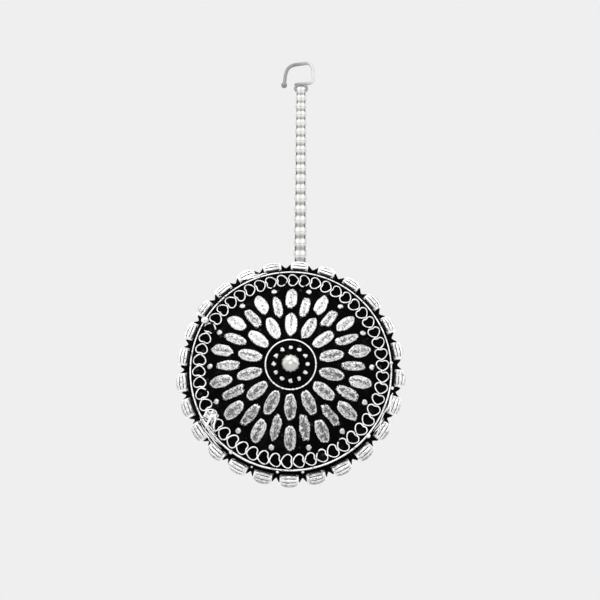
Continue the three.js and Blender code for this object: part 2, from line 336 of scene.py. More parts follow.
def pebbles(
    angles,
    ring,
    width,
    length_out,
    rise,
    seed,
    ragged,
    squareness=2.2,
    flatness=3.0,
    sink=0.35,
    sides=36,
    notched=0.0,
):
    """Low crowned pebbles on the face, one at each angle, at a distance ring from the middle.

    The outline is a superellipse made uneven by a few waves. The height is rise times the root of one
    less the distance from the middle to the power flatness, then the side runs straight down by sink.
    """
    random = np.random.default_rng(seed)
    copies = len(angles)
    around = np.arange(sides) / sides * TURN
    steps = np.sin(np.linspace(0, 1, 9) * math.pi / 2)
    distance = np.concatenate([steps, [1.0, 1.0]])[None, :, None]
    height = rise * np.sqrt(np.clip(1 - distance**flatness, 0, 1))
    height[:, -2:] = np.array([-sink * 0.3, -sink])[None, :, None]
    uneven = wobble(random, copies, around, (2, 3, 4, 6), ragged)
    power = 2 / squareness
    side = signed_power(np.cos(around), power)
    ahead = signed_power(np.sin(around), power)
    size = 1 + random.normal(0, ragged, (copies, 1, 1))
    across = width / 2 * side * distance * uneven * size
    outwards = length_out / 2 * ahead * distance * uneven
    lean = random.normal(0, 1.5 * ragged, (copies, 1, 1))
    across, outwards = across + lean * outwards, outwards - lean * across
    bottom = np.zeros_like(across[:, :1])
    turned = np.asarray(angles)[:, None, None]
    height = height * np.ones_like(across)
    across = np.concatenate([across, bottom], 1)
    outwards = np.concatenate([outwards, bottom], 1)
    height = np.concatenate([height, bottom - sink], 1)
    grid = on_face(across, outwards, height, turned, ring)
    inwards = np.append((1 - distance[0, :, 0]) * width / 2, 0)[None, :, None]
    own = random.uniform(0, 90, (copies, 1, 1))
    # Painted shade: the film mark rises towards the bottom of the face, greying the lower pieces; the random
    # part is each piece's own tone.
    film = 0.5 - 0.5 * np.cos(turned) + random.normal(0, 0.15, (copies, 1, 1))
    marks = {"side": across, "long": outwards, "own": own, "film": film, "notched": notched}
    return body_from_grid(grid, rise=np.clip(inwards / RUBBED_WIDTH, 0, 1), **marks)


def ring_angles(count, turn=0.0):
    """Evenly spaced angles round the face; turn is a share of one step."""
    return (np.arange(count) + turn) / count * TURN


def bead_angle(number):
    """Where a bead stands: even steps, drawn together at the bottom and apart at the top by a sine."""
    even = number / BEAD_COUNT * TURN + BEAD_TURN
    return even + BEAD_DRIFT * np.sin(even - BEAD_DRIFT_TURN)


def wire_ring(centre_line, wire, level, steps=240, sides=8, uneven=None):
    """A closed round wire about the middle of the face: a circle carried round a circle."""
    along = np.arange(steps) / steps * TURN
    around = np.arange(sides) / sides * TURN
    thickness = np.full(steps, wire / 2) if uneven is None else wire / 2 * uneven(along)
    radius = centre_line + thickness[:, None] * np.cos(around)
    height = level + thickness[:, None] * np.sin(around)
    right, up = radius * np.sin(along)[:, None], radius * np.cos(along)[:, None]
    return body_from_grid(np.stack([right, up, height], -1)[None], ends="joined", rise=np.sin(around))


def revolved(profile, sides=240):
    """A turned body: a profile of radius and height carried round the middle of the face."""
    radius, height = np.asarray(profile, float).T
    along = np.arange(sides) / sides * TURN
    right = radius[:, None] * np.sin(along)
    up = radius[:, None] * np.cos(along)
    level = height[:, None] * np.ones(sides)
    return np.stack([right, up, level], -1)[None]


def tube(path, side_way, wire, sides=12, closed=False, **marks):
    """A round wire along a path: the circle lies in the plane of side_way and the path's own normal."""
    before, after = np.roll(path, 1, 0), np.roll(path, -1, 0)
    along = after - before
    if not closed:
        along[0], along[-1] = path[1] - path[0], path[-1] - path[-2]
    along /= np.linalg.norm(along, axis=1, keepdims=True)
    normal = np.cross(along, side_way)
    normal /= np.linalg.norm(normal, axis=1, keepdims=True)
    around = np.arange(sides) / sides * TURN
    cos, sin = np.cos(around)[:, None], np.sin(around)[:, None]
    swept = normal[:, None] * cos + np.cross(normal, along)[:, None] * sin
    grid = path[:, None] + wire / 2 * swept
    if closed:
        return body_from_grid(grid[None], ends="joined", **marks)
    caps = [np.broadcast_to(path[end], grid[:1].shape) for end in (0, -1)]
    return body_from_grid(np.concatenate([caps[0], grid, caps[1]])[None], **marks)


def ball(centre, radius, squash=1.0, columns=32, rows=20, **marks):
    """A ball: circles of latitude from one pole to the other."""
    tip = np.linspace(0, math.pi, rows)[:, None]
    around = np.arange(columns) / columns * TURN
    right, ahead = np.sin(tip) * np.cos(around), np.sin(tip) * np.sin(around)
    up = -squash * np.cos(tip) * np.ones(columns)
    grid = np.stack([right, ahead, up], -1)
    return body_from_grid((np.array(centre) + radius * grid)[None], **marks)


# Materials


def put(tree, kind, inputs=None, **settings):
    """Adds a node with its settings, and fills its inputs with values or links."""
    node = tree.nodes.new(kind)
    for name, value in settings.items():
        setattr(node, name, value)
    for name, value in (inputs or {}).items():
        if isinstance(value, bpy.types.NodeSocket):
            tree.links.new(value, node.inputs[name])
        else:
            node.inputs[name].default_value = value
    return node


def calc(tree, operation, first, second=0.0, third=0.0):
    """One step of arithmetic."""
    return put(tree, "ShaderNodeMath", {0: first, 1: second, 2: third}, operation=operation).outputs[0]


def ramp(tree, value, low, high, from_value=0.0, to_value=1.0):
    """A smooth step of a value between two levels."""
    inputs = {"Value": value, "From Min": low, "From Max": high, "To Min": from_value, "To Max": to_value}
    return put(tree, "ShaderNodeMapRange", inputs, interpolation_type="SMOOTHSTEP").outputs[0]


def blend(tree, factor, first, second):
    """Mixes two colours."""
    return put(tree, "ShaderNodeMix", {0: factor, 6: first, 7: second}, data_type="RGBA").outputs[2]


def millimetres(tree, scale=1.0, stretch=(1, 1, 1)):
    """The object's own coordinates, in millimetres times a scale."""
    place = put(tree, "ShaderNodeTexCoord").outputs["Object"]
    factor = tuple(scale * part / MM for part in stretch)
    return put(tree, "ShaderNodeMapping", {"Vector": place, "Scale": factor}).outputs[0]


def noise(tree, coordinates, scale, detail=2.0, roughness=0.5):
    """Soft noise; scale is its features to the millimetre."""
    inputs = {"Vector": coordinates, "Scale": scale, "Detail": detail, "Roughness": roughness}
    return put(tree, "ShaderNodeTexNoise", inputs).outputs["Fac"]


def node_group(name, inputs, outputs):
    """An empty shader group with numbers for inputs and outputs."""
    tree = bpy.data.node_groups.new(name, "ShaderNodeTree")
    for socket_name, value in inputs:
        socket = tree.interface.new_socket(socket_name, in_out="INPUT", socket_type="NodeSocketFloat")
        socket.default_value = value
    for socket_name in outputs:
        tree.interface.new_socket(socket_name, in_out="OUTPUT", socket_type="NodeSocketFloat")
    return tree, tree.nodes.new("NodeGroupInput").outputs, tree.nodes.new("NodeGroupOutput").inputs


def rubbed_edges_group():
    """Where rubbing has bared the silver: a height with a ragged border through noise."""
    tree, given, result = node_group(
        "Rubbed edges", [("Rise", 0.5), ("Level", 0.3), ("Softness", 0.05), ("Raggedness", 0.2)], ["Bare"]
    )
    place = millimetres(tree)
    uneven = calc(tree, "SUBTRACT", noise(tree, place, 3.4, 3.0, 0.75), 0.5)
    height = calc(tree, "ADD", given["Rise"], calc(tree, "MULTIPLY", uneven, given["Raggedness"]))
    low = calc(tree, "SUBTRACT", given["Level"], given["Softness"])
    high = calc(tree, "ADD", given["Level"], given["Softness"])
    tree.links.new(ramp(tree, height, low, high), result["Bare"])
    return tree


def casting_pits_group():
    """Small round pits left by the casting: the places near scattered points, of which a share counts."""
    tree, given, result = node_group(
        "Casting pits", [("Pits to the millimetre", 1.6), ("Size", 0.22), ("Share", 0.3)], ["Pit"]
    )
    place = millimetres(tree)
    inputs = {"Vector": place, "Scale": given["Pits to the millimetre"]}
    cells = put(tree, "ShaderNodeTexVoronoi", inputs)
    drawn = put(tree, "ShaderNodeSeparateColor", {"Color": cells.outputs["Color"]}).outputs[0]
    counted = calc(tree, "LESS_THAN", drawn, given["Share"])
    edge = calc(tree, "MULTIPLY", given["Size"], 0.6)
    near = ramp(tree, cells.outputs["Distance"], given["Size"], edge)
    tree.links.new(calc(tree, "MULTIPLY", near, counted), result["Pit"])
    return tree


def fine_scratches_group():
    """Short hatching: noise drawn out one way, laid over the same the other way."""
    tree, given, result = node_group("Fine scratches", [("Scratches to the millimetre", 3.0)], ["Scratch"])
    one = noise(tree, millimetres(tree, 1.0, (1.0, 1.0, 0.22)), given["Scratches to the millimetre"], 2.0)
    other = noise(tree, millimetres(tree, 1.0, (0.3, 1.0, 1.2)), given["Scratches to the millimetre"], 2.0)
    tree.links.new(calc(tree, "MULTIPLY", calc(tree, "ADD", one, other), 0.5), result["Scratch"])
    return tree


GROUP_MAKERS = {
    "Rubbed edges": rubbed_edges_group,
    "Casting pits": casting_pits_group,
    "Fine scratches": fine_scratches_group,
}


def effect(tree, name, output, **values):
    """Places a shared effect in a material with its own values, and gives one output."""
    group = bpy.data.node_groups.get(name) or GROUP_MAKERS[name]()
    node = put(tree, "ShaderNodeGroup", node_tree=group)
    for socket in node.inputs:
        key = socket.name.lower().replace(" ", "_")
        if key not in values:
            continue
        if isinstance(values[key], bpy.types.NodeSocket):
            tree.links.new(values[key], socket)
        else:
            socket.default_value = values[key]
    return node.outputs[output]


def new_material(name):
    """A material with one Principled shader: the tree and the shader's inputs."""
    material = bpy.data.materials.new(name)
    material.use_nodes = True
    tree = material.node_tree
    return material, tree, tree.nodes["Principled BSDF"].inputs


def mark(tree, name):
    """A number that the piece carries at each point."""
    return put(tree, "ShaderNodeAttribute", attribute_name=name).outputs["Fac"]


def bump(tree, height, depth):
    """A bump of a depth in millimetres."""
    inputs = {"Height": height, "Strength": 1.0, "Distance": depth * MM}
    return put(tree, "ShaderNodeBump", inputs).outputs[0]


def rgba(value):
    """A colour with full cover."""
    return (*value, 1.0)


def finishes():
    """The user's finishes."""
    return bpy.context.scene.tikka_finishes


def petal_grain(tree):
    """Streaks along each petal, grain or bead: noise on its own width and length, drawn out lengthwise."""
    along = calc(tree, "MULTIPLY", mark(tree, "long"), 0.45)
    parts = {0: mark(tree, "side"), 1: along, 2: mark(tree, "own")}
    return noise(tree, put(tree, "ShaderNodeCombineXYZ", parts).outputs[0], 3.4, 6.0, 0.85)


def rubbed_silver(name, level=0.34, raggedness=0.3, pits=0.3, grey=0.5, softness=0.08, lengthwise=False):
    """Bright rubbed silver whose low places stay black, with pits and a greyer film on the crowns.

    The film lies where the grain, the patches and the piece's own film mark together pass a level, and it
    is nearly black past a higher one. The film mark also carries painted shade on the lower pieces and the
    beads' outer sides. Lengthwise grain runs along the piece, and there the film is thicker near the middle
    line.
    """
    look = finishes()
    material, tree, shader = new_material(name)
    rise = mark(tree, "rise")
    uneven = calc(tree, "MULTIPLY_ADD", mark(tree, "notched"), 1.3 * raggedness, raggedness)
    bare = effect(tree, "Rubbed edges", "Bare", rise=rise, level=level, softness=softness, raggedness=uneven)
    pit = effect(tree, "Casting pits", "Pit", share=pits)
    scratch = effect(tree, "Fine scratches", "Scratch")
    clear = calc(tree, "MULTIPLY", bare, calc(tree, "SUBTRACT", 1.0, pit))
    patches = calc(tree, "MULTIPLY", noise(tree, millimetres(tree), 1.9, 4.0, 0.75), 0.6)
    grain = petal_grain(tree) if lengthwise else scratch
    # The film mark adds painted shade: more grey film on the lower pieces and on the beads' outer sides.
    kept_film_and_shade = calc(tree, "MULTIPLY", mark(tree, "film"), 0.13)
    if lengthwise:
        from_middle = calc(tree, "ABSOLUTE", mark(tree, "side"))
        kept_film_and_shade = calc(tree, "ADD", kept_film_and_shade, ramp(tree, from_middle, 0.1, 0.6, 0.1, 0.0))
    dulled = calc(tree, "ADD", calc(tree, "ADD", grain, patches), kept_film_and_shade)
    crown = ramp(tree, rise, 0.35, 0.7)
    film = calc(tree, "MULTIPLY", ramp(tree, dulled, 0.84, 0.92, 0.0, 0.8 * grey), crown)
    thick = calc(tree, "MULTIPLY", ramp(tree, dulled, 0.94, 0.98, 0.0, grey), crown)
    silver = blend(tree, film, rgba(look.bright_silver), rgba(look.grey_silver))
    silver = blend(tree, thick, silver, rgba([part * 0.08 for part in look.grey_silver]))
    tree.links.new(blend(tree, clear, rgba(look.black_oxide), silver), shader["Base Color"])
    tree.links.new(clear, shader["Metallic"])
    rough = ramp(tree, scratch, 0.3, 0.7, look.silver_roughness, look.silver_roughness + 0.15)
    tree.links.new(rough, shader["Roughness"])
    shader["Specular IOR Level"].default_value = 0.12
    relief = calc(tree, "SUBTRACT", calc(tree, "MULTIPLY", scratch, 0.5), calc(tree, "ADD", pit, film))
    tree.links.new(bump(tree, relief, 0.05), shader["Normal"])
    return material


def black_ground(name):
    """Matt black oxide with faint grey specks and a cast, slightly uneven surface."""
    look = finishes()
    material, tree, shader = new_material(name)
    place = millimetres(tree)
    specks = effect(tree, "Casting pits", "Pit", pits_to_the_millimetre=0.9, size=0.3, share=0.12)
    cloud = ramp(tree, noise(tree, place, 0.6, 4.0, 0.6), 0.5, 0.72, 0.0, 0.005)
    lift = calc(tree, "ADD", cloud, calc(tree, "MULTIPLY", specks, 0.02))
    tree.links.new(blend(tree, lift, rgba(look.black_oxide), (1, 1, 1, 1)), shader["Base Color"])
    tree.links.new(ramp(tree, noise(tree, place, 1.5), 0.3, 0.7, 0.55, 0.8), shader["Roughness"])
    shader["Specular IOR Level"].default_value = 0.015
    tree.links.new(bump(tree, noise(tree, place, 2.0, 4.0), 0.08), shader["Normal"])
    return material


def dull_back(name):
    """Dull silver on the plain back, black towards the edge and the front."""
    look = finishes()
    material, tree, shader = new_material(name)
    place = millimetres(tree)
    cloud = noise(tree, place, 0.25, 5.0, 0.6)
    rise = mark(tree, "rise")
    bare = effect(tree, "Rubbed edges", "Bare", rise=rise, level=0.5, softness=0.3, raggedness=0.5)
    darker = rgba([part * 0.6 for part in look.back_silver])
    grey = blend(tree, ramp(tree, cloud, 0.3, 0.7), darker, rgba(look.back_silver))
    tree.links.new(blend(tree, bare, rgba(look.black_oxide), grey), shader["Base Color"])
    tree.links.new(calc(tree, "MULTIPLY", bare, 0.9), shader["Metallic"])
    tree.links.new(ramp(tree, cloud, 0.3, 0.7, 0.62, 0.4), shader["Roughness"])
    shader["Specular IOR Level"].default_value = 0.08
    scratch = effect(tree, "Fine scratches", "Scratch", scratches_to_the_millimetre=1.2)
    relief = calc(tree, "ADD", scratch, noise(tree, place, 1.2, 4.0))
    tree.links.new(bump(tree, relief, 0.05), shader["Normal"])
    return material


def plated(name, base, dark_share, roughness, metallic=1.0):
    """Bright plating, darker where the piece's polish and painted light mark is low, with fine scratches; on
    the chain's links and the hook that mark paints highlights and shade.
    """
    material, tree, shader = new_material(name)
    scratch = effect(tree, "Fine scratches", "Scratch", scratches_to_the_millimetre=2.2)
    uneven = calc(tree, "MULTIPLY", calc(tree, "SUBTRACT", scratch, 0.5), 0.6)
    polish = calc(tree, "ADD", mark(tree, "polish"), uneven)
    # Where the mark is low the colour falls to the darker share: on the chain's links and the hook this is
    # painted shade.
    dull_and_painted_shade = rgba([part * dark_share for part in base])
    tree.links.new(blend(tree, ramp(tree, polish, 0.1, 0.9), dull_and_painted_shade, rgba(base)), shader["Base Color"])
    shader["Metallic"].default_value = metallic
    tree.links.new(ramp(tree, scratch, 0.3, 0.7, roughness, roughness + 0.15), shader["Roughness"])
    tree.links.new(bump(tree, scratch, 0.03), shader["Normal"])
    return material


# The medallion's pieces


def ground_bodies():
    """The dome, band and drum as one turned body: the face's profile, then over the edge and back below."""
    radii = DOME_RADIUS * np.linspace(0, 1, 40)
    face = [(radius, dome_level(radius)) for radius in radii]
    rim_foot = DRUM_HEIGHT - 0.15
    edge = [(19.15, BAND_LEVEL), (19.3, rim_foot), (WALL_RADIUS, rim_foot), (WALL_RADIUS, 0.5), (19.3, 0.2)]
    return [body_from_grid(revolved([*face, *edge, (0, 0.2)]))]


def back_sheet_bodies():
    """The plain sheet that closes the back: a flat disc with a soft edge that darkens outwards."""
    profile = [(0, 0), (9, 0), (16, 0), (18.6, 0), (19.05, 0.06), (19.15, 0.2), (19.1, 0.35), (0, 0.35)]
    rise = np.array([1, 1, 0.9, 0.5, 0.2, 0.1, 0, 0])[None, :, None]
    return [body_from_grid(revolved(profile), rise=rise)]


def flange_bodies():
    """The flat flange that carries the beads: its edge dips between two beads, with a horn at each side.

    From the hollow to the horn the edge rises by a power of the way along, and under a bead it steps back
    a little. A small rounded rectangle is carried round between the wall and that edge.
    """
    steps_to_a_bead = 24
    sides = BEAD_COUNT * steps_to_a_bead
    number = np.arange(sides) / steps_to_a_bead
    nearest = np.round(number)
    angle = bead_angle(number)
    from_bead = np.abs(angle - bead_angle(nearest))
    half_step = np.abs(bead_angle(nearest + 0.5 * np.sign(number - nearest)) - bead_angle(nearest))
    half_step = np.where(from_bead == 0, 1, half_step)
    horn = BEAD_LENGTH * 0.52 / BEAD_RING
    slope = np.clip((half_step - from_bead) / (half_step - horn), 0, 1)
    under = np.clip((horn - from_bead) / horn, 0, 1)
    reach = HOLLOW_RADIUS + (HORN_RADIUS - HOLLOW_RADIUS) * slope**1.3 - 0.45 * np.minimum(under * 4, 1)
    low, high = FLANGE_LEVEL, FLANGE_LEVEL + FLANGE_THICKNESS
    section = [(0, low), (0.9, low), (1, low + 0.12), (1, high - 0.12), (0.9, high), (0, high)]
    inner = WALL_RADIUS - 0.25
    radius = np.stack([inner + part * (reach - inner) for part, _ in section])
    level = np.array([height for _, height in section])[:, None] * np.ones(sides)
    grid = np.stack([radius * np.sin(angle), radius * np.cos(angle), level], -1)
    edge = np.array([part for part, _ in section])[None, :, None]
    return [body_from_grid(grid[None], ends="joined", rise=0.5 * edge)]


def petal_bodies(sizes):
    """Three rings of petals: long ones inside and outside, narrow uneven ones between them."""
    rise, ragged = in_mm(sizes.petal_rise), sizes.petal_ragged
    whole, half = ring_angles(PETAL_COUNT), ring_angles(PETAL_COUNT, 0.5)
    inner = pebbles(
        whole,
        ring=8.0,
        width=2.5,
        length_out=5.15,
        rise=rise,
        seed=11,
        ragged=ragged * 0.6,
        squareness=2.05,
    )
    outer = pebbles(
        whole,
        ring=13.65,
        width=2.55,
        length_out=4.75,
        rise=rise,
        seed=12,
        ragged=ragged * 0.8,
        squareness=2.1,
    )
    narrow = pebbles(
        half,
        ring=12.0,
        width=2.05,
        length_out=4.85,
        rise=rise * 0.92,
        seed=13,
        ragged=ragged * 1.4,
        squareness=2.4,
        notched=1.0,
    )
    return [inner, outer, narrow]


def granule_bodies():
    """Small grains: one ring near the dome's edge and one round the boss."""
    outside = pebbles(
        ring_angles(PETAL_COUNT, 0.5),
        ring=15.65,
        width=1.15,
        length_out=1.2,
        rise=0.55,
        seed=21,
        ragged=0.05,
        squareness=2.0,
        flatness=2.2,
        sides=20,
    )
    inside = pebbles(
        ring_angles(CENTRE_GRANULE_COUNT),
        ring=3.2,
        width=0.9,
        length_out=0.9,
        rise=0.45,
        seed=22,
        ragged=0.07,
        squareness=2.0,
        flatness=2.2,
        sides=18,
    )
    return [outside, inside]


def heart_bodies(sizes):
    """Fifty wire hearts that lie round the border with their tips pointing clockwise.

    Round the heart, the length is a cosine with the cleft pushed in by a narrow bell. The width is a sine
    times the root of the sine of half the turn, over that product's greatest value, so one end is round
    and the other pointed. Each heart is turned a little. The wire is a circle carried round that outline,
    and the oxide climbs it in a bell somewhere on its inner side. One heart is mostly under oxide.
    """
    random = np.random.default_rng(31)
    steps, sides = 40, 6
    t = np.arange(steps) / steps * TURN
    around = np.arange(sides) / sides * TURN
    copies = HEART_COUNT
    angles = ring_angles(copies)[:, None] + HEART_TURN
    angles = angles + math.radians(0.9) * np.sin(angles - 0.5)
    cleft = in_mm(sizes.heart_cleft) * np.exp(-(((t - math.pi) / 0.3) ** 2))
    along = in_mm(sizes.heart_length) / 2 * np.cos(t) + cleft
    greatest = 0.862
    width = in_mm(sizes.heart_width) / 2 * np.sin(t) * np.sqrt(np.sin(t / 2)) / greatest
    along = along * (1 + random.normal(0, 0.02, (copies, 1)))
    width = width * (1 + random.normal(0, 0.025, (copies, 1)))
    lower_left = np.clip(np.cos(angles - math.radians(205)), 0, 1) ** 2
    turn = random.normal(0, math.radians(5), (copies, 1)) + math.radians(12) * lower_left
    along, width = along * np.cos(turn) - width * np.sin(turn), width * np.cos(turn) + along * np.sin(turn)
    wire = in_mm(sizes.heart_wire) / 2 * wobble(random, copies, t, (1, 2, 3, 5), 0.07)[:, 0]
    outline = np.stack([along, width], -1)
    tangent = np.roll(outline, -1, 1) - np.roll(outline, 1, 1)
    tangent /= np.linalg.norm(tangent, axis=-1, keepdims=True)
    normal_along, normal_width = tangent[..., 1], -tangent[..., 0]
    ripple = wire[..., None] * np.cos(around)
    across = along[..., None] + normal_along[..., None] * ripple
    outwards = width[..., None] + normal_width[..., None] * ripple
    height = 0.14 + wire[..., None] * np.sin(around) * 1.15
    grid = on_face(across, outwards, height, angles[..., None], HEART_RING)
    dulled = random.uniform(-0.4, 0.9, (copies, 1)).clip(0)
    where = random.uniform(3.9, 5.6, (copies, 1))
    oxide = dulled * np.exp(-(((t - where) / 0.45) ** 2))
    oxide[HIDDEN_HEART] = 0.6 + 0.4 * np.cos(3 * t)
    rise = (0.5 + 0.5 * np.sin(around)) * (1 - oxide[..., None])
    return [body_from_grid(grid, ends="joined", rise=rise)]


def bead_bodies(sizes):
    """Twenty-five fluted barrels round the rim, their axes along it.

    The radius falls off from the middle to the ends by a power, with a groove and a raised collar at each
    end. Round the barrel it dips in a row of grooves, which fade out at the collars. The side towards the
    wall keeps its oxide; painted shade greys the lower beads and each bead's outer side.
    """
    random = np.random.default_rng(41)
    copies, sides = BEAD_COUNT, 96
    around = np.arange(sides) / sides * TURN
    half = np.array([0, 0.15, 0.3, 0.45, 0.58, 0.7, 0.76, 0.8, 0.84, 0.96, 1, 1.0])
    collar = np.array([0, 0, 0, 0, 0, 0, -0.02, -0.05, 0.03, 0.03, -0.04, -1])
    share_along = np.concatenate([-half[::-1], half[1:]])
    barrel = np.where(collar == -1, 0, 1 - 0.34 * half**2.4 + collar)
    radius = np.concatenate([barrel[::-1], barrel[1:]])
    fade = np.clip((0.82 - np.abs(share_along)) / 0.12, 0, 1)[None, :, None]
    shift = random.uniform(0, 0.5, (copies, 1, 1))
    flutes = 0.5 + 0.5 * np.cos(FLUTE_COUNT * around + shift)
    depth = sizes.flute_depth * fade * flutes**2
    groove = np.exp(-(((np.abs(share_along) - 0.8) / 0.035) ** 2))[None, :, None]
    size = 1 + random.normal(0, 0.025, (copies, 1, 1))
    across_radius = BEAD_RADIUS * radius[None, :, None] * (1 - depth) * size
    across = BEAD_LENGTH / 2 * share_along[None, :, None] * (1 + random.normal(0, 0.02, (copies, 1, 1)))
    outwards = across_radius * np.cos(around)
    level = BEAD_LEVEL + across_radius * np.sin(around)
    angle = bead_angle(np.arange(copies))[:, None, None]
    out = BEAD_RING + outwards
    right = across * np.cos(angle) + out * np.sin(angle)
    up = out * np.cos(angle) - across * np.sin(angle)
    grid = np.stack(np.broadcast_arrays(right, up, level), -1)
    rubbed = np.clip((outwards + 0.85) / 0.25, 0, 1)
    own = random.uniform(0, 90, (copies, 1, 1))
    # Painted shade: the film mark rises towards the bottom of the face and on each bead's outer side; the
    # random part is each bead's own tone.
    film = 0.2 - 0.2 * np.cos(angle) + random.normal(0, 0.2, (copies, 1, 1))
    film = film + 1.3 * np.clip((outwards / BEAD_RADIUS - 0.72) / 0.25, 0, 1)
    side = BEAD_RADIUS * np.where(around > math.pi, around - TURN, around)
    marks = {"side": side, "long": across, "own": own, "film": film * fade}
    return [body_from_grid(grid, rise=rubbed * (1 - 0.85 * flutes * fade) * (1 - 0.8 * groove), **marks)]


def rim_bodies(sizes):
    """The wire round the face, a little uneven in thickness, and a finer one under it that comes and goes."""
    wire = in_mm(sizes.rim_wire)

    def uneven(along):
        return 1 + 0.05 * np.sin(7 * along + 1) + 0.05 * np.sin(23 * along) + 0.04 * np.sin(41 * along + 2)

    def patchy(along):
        return np.clip(0.75 + 0.3 * np.sin(3 * along + 2.2) + 0.2 * np.sin(11 * along), 0.2, 1)

    upper = wire_ring(FACE_RADIUS - 0.03, wire, DRUM_HEIGHT + 0.02, 360, 10, uneven)
    return [upper, wire_ring(WALL_RADIUS + 0.02, 0.5 * wire, DRUM_HEIGHT - 0.3, 360, 6, patchy)]


def arc_strip(start, end, wire, level):
    """A tapering strip of solder along the rim, from one radius and angle in degrees to another.

    On its way the radius sways by one and a half waves of a sine.
    """
    steps = np.linspace(0, 1, 24)
    radius, angle = (start[k] + (end[k] - start[k]) * steps for k in (0, 1))
    radius = radius + 0.08 * np.sin(3 * math.pi * steps + end[1])
    turned = np.radians(angle)
    path = np.stack([radius * np.sin(turned), radius * np.cos(turned), np.full(24, level)], -1)
    thickness = wire * np.clip(4 * np.minimum(steps, 1 - steps), 0.3, 0.85)
    return tube(path, np.array([0, 0, 1.0]), thickness[:, None, None], 10, rise=1.0)


def stray_bead(radius, angle, level, size):
    """A small ball of solder at a radius, an angle in degrees and a level, all of the face."""
    turned = math.radians(angle)
    return ball((radius * math.sin(turned), radius * math.cos(turned), level), size, rise=1.0)


def solder_bodies(sizes):
    """Where the border was mended: a lump over one heart, strips along the rim, and small stray beads."""
    rise = in_mm(sizes.solder_height)
    lump = pebbles(
        np.radians([237.5]),
        ring=17.7,
        width=2.5,
        length_out=2.3,
        rise=rise,
        seed=51,
        ragged=0.2,
        squareness=2.0,
        flatness=2.6,
        sink=0.3,
        sides=48,
    )
    tail = pebbles(
        np.radians([231.5]),
        ring=18.6,
        width=2.4,
        length_out=0.7,
        rise=rise * 0.7,
        seed=52,
        ragged=0.2,
        squareness=2.0,
        flatness=2.2,
        sink=0.3,
        sides=32,
    )
    strips = [
        arc_strip((16.9, 239), (19.9, 233), 0.6, 4.95),
        arc_strip((17.6, 241.5), (20.1, 238), 0.45, 4.95),
        arc_strip((17.0, 235.5), (19.1, 229), 0.5, 5.05),
        arc_strip((19.6, 240), (19.7, 221), 0.3, 4.8),
        arc_strip((20.0, 238), (20.1, 219.5), 0.32, 4.55),
        arc_strip((20.45, 236.5), (20.5, 221), 0.32, 4.3),
        arc_strip((19.15, 238), (19.0, 226), 0.25, 5.0),
        arc_strip((20.1, 104), (20.0, 115.5), 0.75, 4.3),
        arc_strip((19.8, 113), (19.85, 128), 0.3, 4.7),
        arc_strip((20.15, 119), (20.2, 128), 0.34, 4.45),
        arc_strip((19.9, 333), (19.8, 345.5), 0.5, 4.75),
        arc_strip((20.35, 330), (20.3, 341), 0.4, 4.5),
    ]
    strays = [
        stray_bead(19.3, 298.3, 5.1, 0.75),
        stray_bead(19.5, 214.2, 4.9, 0.4),
        stray_bead(19.7, 186.7, 4.3, 0.34),
        stray_bead(19.7, 173.1, 4.3, 0.32),
        stray_bead(20.0, 200.7, 4.0, 0.25),
        stray_bead(19.55, 131.8, 4.9, 0.45),
        stray_bead(19.8, 101.8, 4.8, 0.35),
        stray_bead(19.4, 87.7, 5.05, 0.35),
    ]
    return [lump, tail, *strips, *strays]


def centre_ring_bodies(sizes):
    """The wire round the boss: even at the top and notched at the bottom."""
    wire = in_mm(sizes.centre_wire)

    def notched(along):
        bottom = np.clip(-np.cos(along), 0, 1) ** 2
        notches = 0.25 * np.sin(46 * along) + 0.15 * np.sin(31 * along + 1)
        return 1 + 0.05 * np.sin(9 * along) + bottom * notches

    level = float(dome_level(CENTRE_RING_RADIUS)) + 0.06
    return [wire_ring(CENTRE_RING_RADIUS, wire, level, 360, 8, notched)]


def boss_bodies(sizes):
    """The smooth ball in the middle."""
    radius = in_mm(sizes.boss_radius)
    return [ball((0, 0, float(dome_level(0)) + 0.5), radius, 0.9, polish=0.45)]


def back_loop_bodies():
    """The soldered loop on the back: a ring of wire whose hole runs across."""
    steps = np.arange(48) / 48 * TURN
    x, y, z = LOOP_PLACE
    up, out = y + LOOP_CENTRE_LINE * np.cos(steps), z + LOOP_CENTRE_LINE * np.sin(steps)
    path = np.stack([np.full(48, x), up, out], -1)
    return [tube(path, np.array([1.0, 0, 0]), 2 * LOOP_WIRE, 12, closed=True)]


# The chain and the hook


